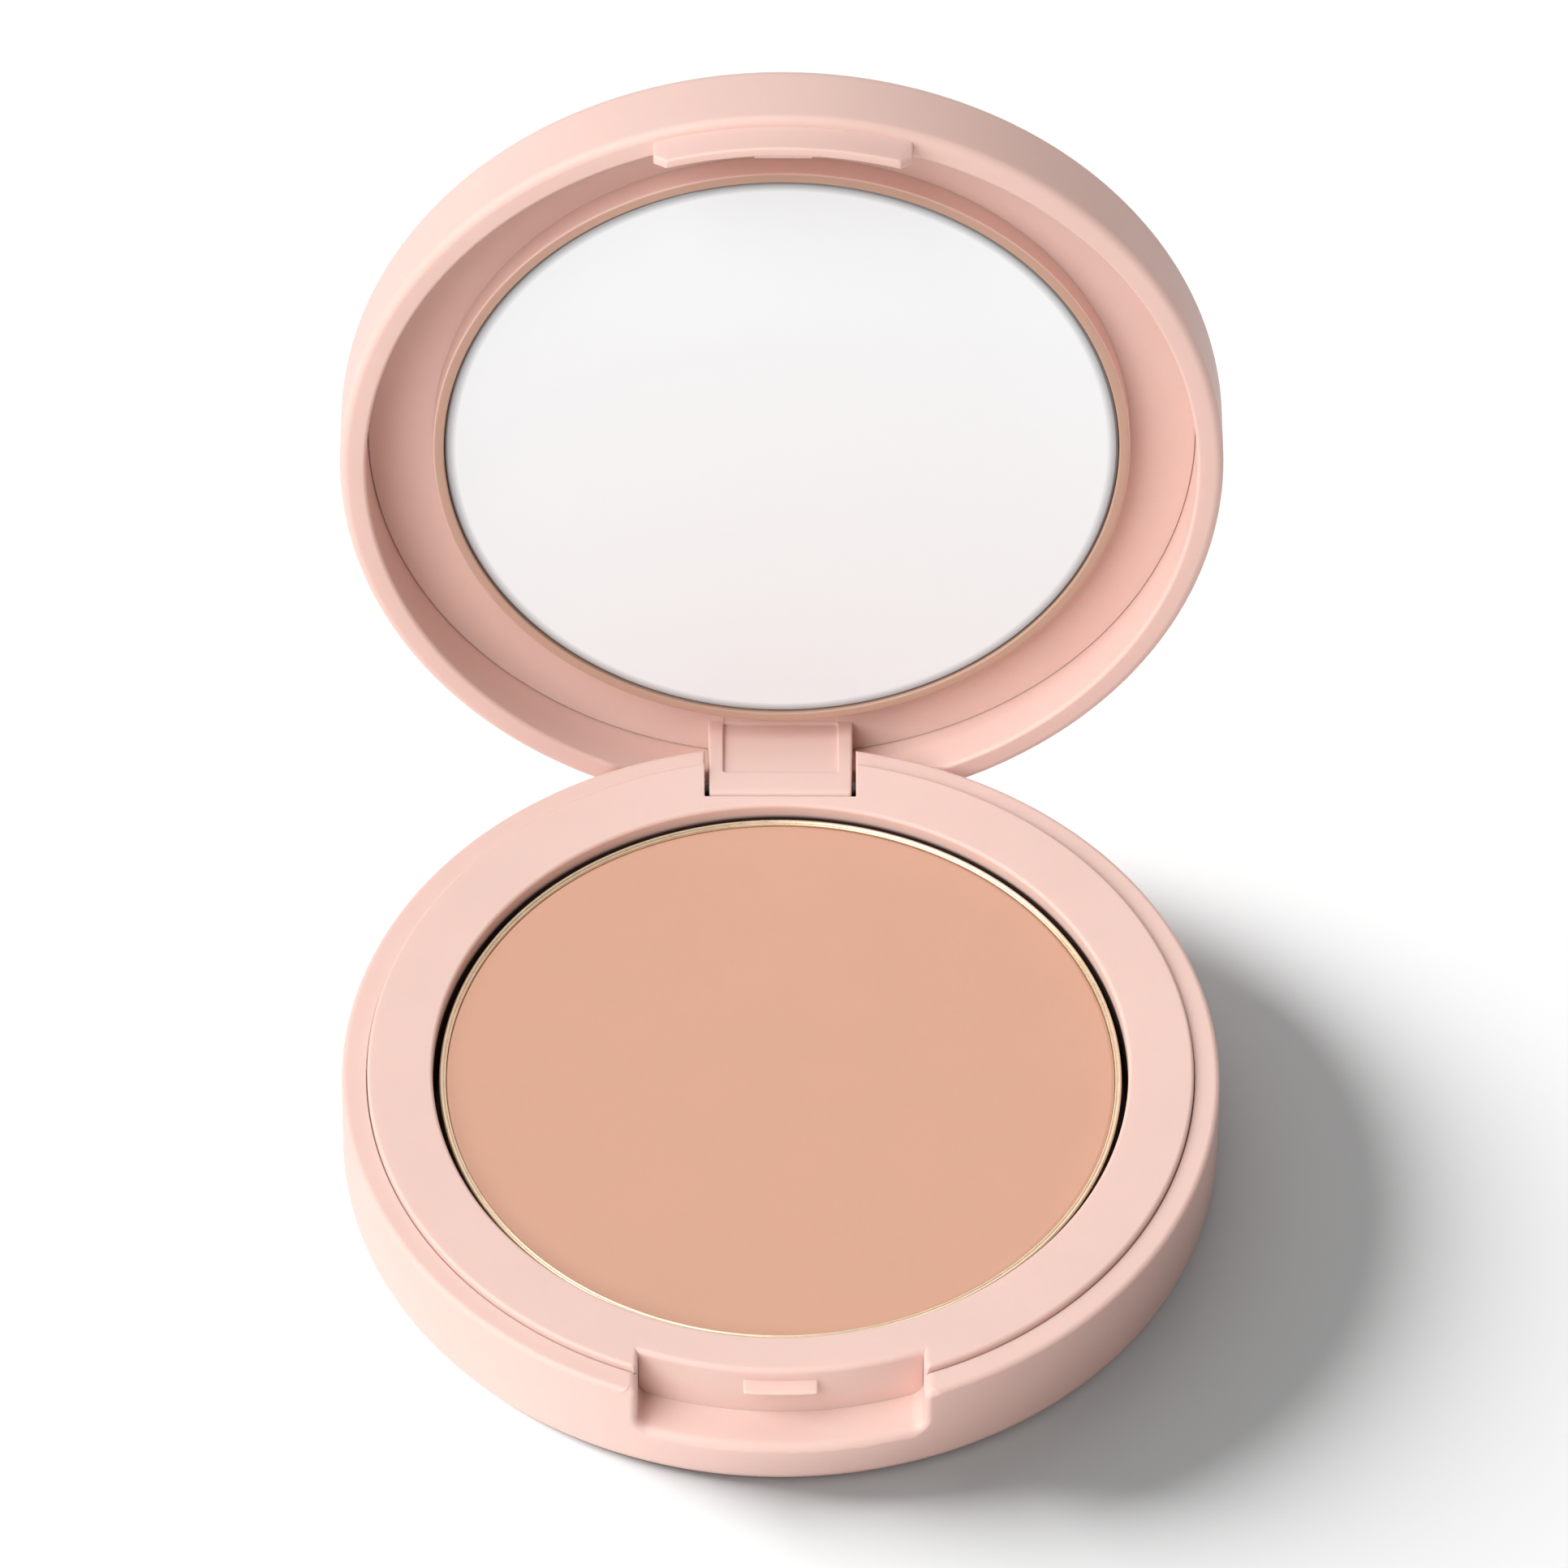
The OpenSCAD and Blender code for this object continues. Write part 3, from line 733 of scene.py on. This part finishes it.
shell = piece("shell", base_shell(), "base", "base_shell", shell_plastic)
deck = piece("deck_and_well", base_frame(), "base", "base_frame", deck_plastic)
piece("pan", powder_pan(), "base", "powder_pan", pan_metal)
piece("pressed_powder", powder_cake(), "base", "powder_cake", powder)
piece("pin", hinge_pin(), "base", "hinge_pin", pin_steel)
piece("lid_cup", lid_shell(), "lid", "lid_shell", case_plastic, opened=True)
piece("lid_floor_and_lug", lid_liner(), "lid", "lid_liner", case_plastic, opened=True)
piece("mirror_ring", mirror_bezel(), "lid", "mirror_bezel", bezel_plastic, opened=True)
piece("mirror_plate", mirror_disc(), "lid", "mirror_glass", mirror, opened=True)
for node, finish in (("pan_adhesive", adhesive), ("mirror_adhesive", adhesive), ("base_label", label_paper)):
    frame["nodes"][node].data.materials.clear()
    frame["nodes"][node].data.materials.append(finish)


# ---------------------------------------------------------------- floor, light and camera

FLOOR_DARK, FLOOR_LIGHT = (0.79, 0.92, 0.975), (0.80, 0.93, 0.985)
FLOOR_REACH, FLOOR_DROP = 2000, 0.02

# Colours of the lights. The bluish floor and its reddish lights together look white.
COOL, AMBER, ROSE = (0.945, 1, 1), (1, 0.6, 0.47), (1, 0.92, 0.9)
PEACH, ROOM = (1, 0.86, 0.812), (1, 0.85, 0.79)


def studio_floor():
    """A plain pale floor, a hair below the compact so that their faces do not mix."""
    mesh = bmesh.new()
    bmesh.ops.create_grid(mesh, x_segments=4, y_segments=4, size=FLOOR_REACH * MM)
    floor = as_object(mesh, "floor")
    floor.location.z = -FLOOR_DROP * MM
    m = Nodes("floor", Specular_IOR_Level=0.1)
    m.link(m.ramp(m.noise(60, 2), FLOOR_DARK, FLOOR_LIGHT), "Base Color")
    m.link(m.span(m.noise(2), 0.85, 0.95), "Roughness")
    floor.data.materials.append(m.material)
    return floor


def sun(name, lights_up, towards_light, strength, softness, colour=(1, 1, 1), shadows_of=()):
    """A sun that lights only the given objects, with the shadows of every object or of the given ones."""
    light = bpy.data.lights.new(name, "SUN")
    light.energy, light.angle, light.color = strength, math.radians(softness), colour
    obj = bpy.data.objects.new(name, light)
    obj.rotation_mode = "QUATERNION"
    obj.rotation_quaternion = Vector(towards_light).to_track_quat("Z", "Y")
    bpy.context.scene.collection.objects.link(obj)
    receivers = bpy.data.collections.new(name)
    for lit in lights_up:
        receivers.objects.link(lit)
    obj.light_linking.receiver_collection = receivers
    if shadows_of:
        blockers = bpy.data.collections.new(name + "_shadows")
        for blocker in shadows_of:
            blockers.objects.link(blocker)
        obj.light_linking.blocker_collection = blockers


def aimed(azimuth, elevation):
    """Direction at an azimuth from the front, positive to the right, and an elevation."""
    azimuth, elevation = math.radians(azimuth), math.radians(elevation)
    level = math.cos(elevation)
    return Vector((math.sin(azimuth) * level, -math.cos(azimuth) * level, math.sin(elevation)))


def surroundings(colour, strength):
    """Even light from all round."""
    world = bpy.data.worlds.new("studio")
    world.use_nodes = True
    background = world.node_tree.nodes["Background"]
    background.inputs["Color"].default_value = (*colour, 1)
    background.inputs["Strength"].default_value = strength
    bpy.context.scene.world = world


def camera(target, distance, pitch, azimuth, roll, lens):
    """A camera at a distance from the target, at an azimuth from the front and a pitch above it."""
    back = aimed(azimuth, pitch)
    data = bpy.data.cameras.new("camera")
    data.lens, data.clip_start, data.clip_end = lens, 0.1, 10
    obj = bpy.data.objects.new("camera", data)
    turned = (-back).to_track_quat("-Z", "Y").to_matrix().to_4x4()
    turned = turned @ Matrix.Rotation(math.radians(roll), 4, "Z")
    obj.matrix_world = Matrix.Translation((Vector(target) + back * distance) * MM) @ turned
    bpy.context.scene.collection.objects.link(obj)
    bpy.context.scene.camera = obj


compact = [obj for obj in bpy.context.scene.objects if obj.type == "MESH"]
floor = studio_floor()
sun("key", compact, aimed(-57, 48), strength=3.33, softness=60, colour=COOL)
sun("warm_fill", compact, aimed(-15, 12), strength=0.36, softness=50, colour=AMBER)
sun("back_fill", compact, aimed(180, 62), strength=0.5, softness=40, colour=ROSE)
sun("floor_key", [floor], (-26, 11, 9.5), strength=8.9, softness=28, colour=PEACH, shadows_of=[shell, deck])
sun("floor_soft", [floor], (-20, 35, 45), strength=0.63, softness=60, colour=PEACH)
sun("floor_fill", [floor], (50, -50, 60), strength=0.12, softness=60)
surroundings(ROOM, strength=0.21)
camera(target=(0.25, 20, 24.58), distance=1300, pitch=48.54, azimuth=-0.29, roll=0.34, lens=342.2)
bpy.context.scene.view_settings.view_transform = "Standard"
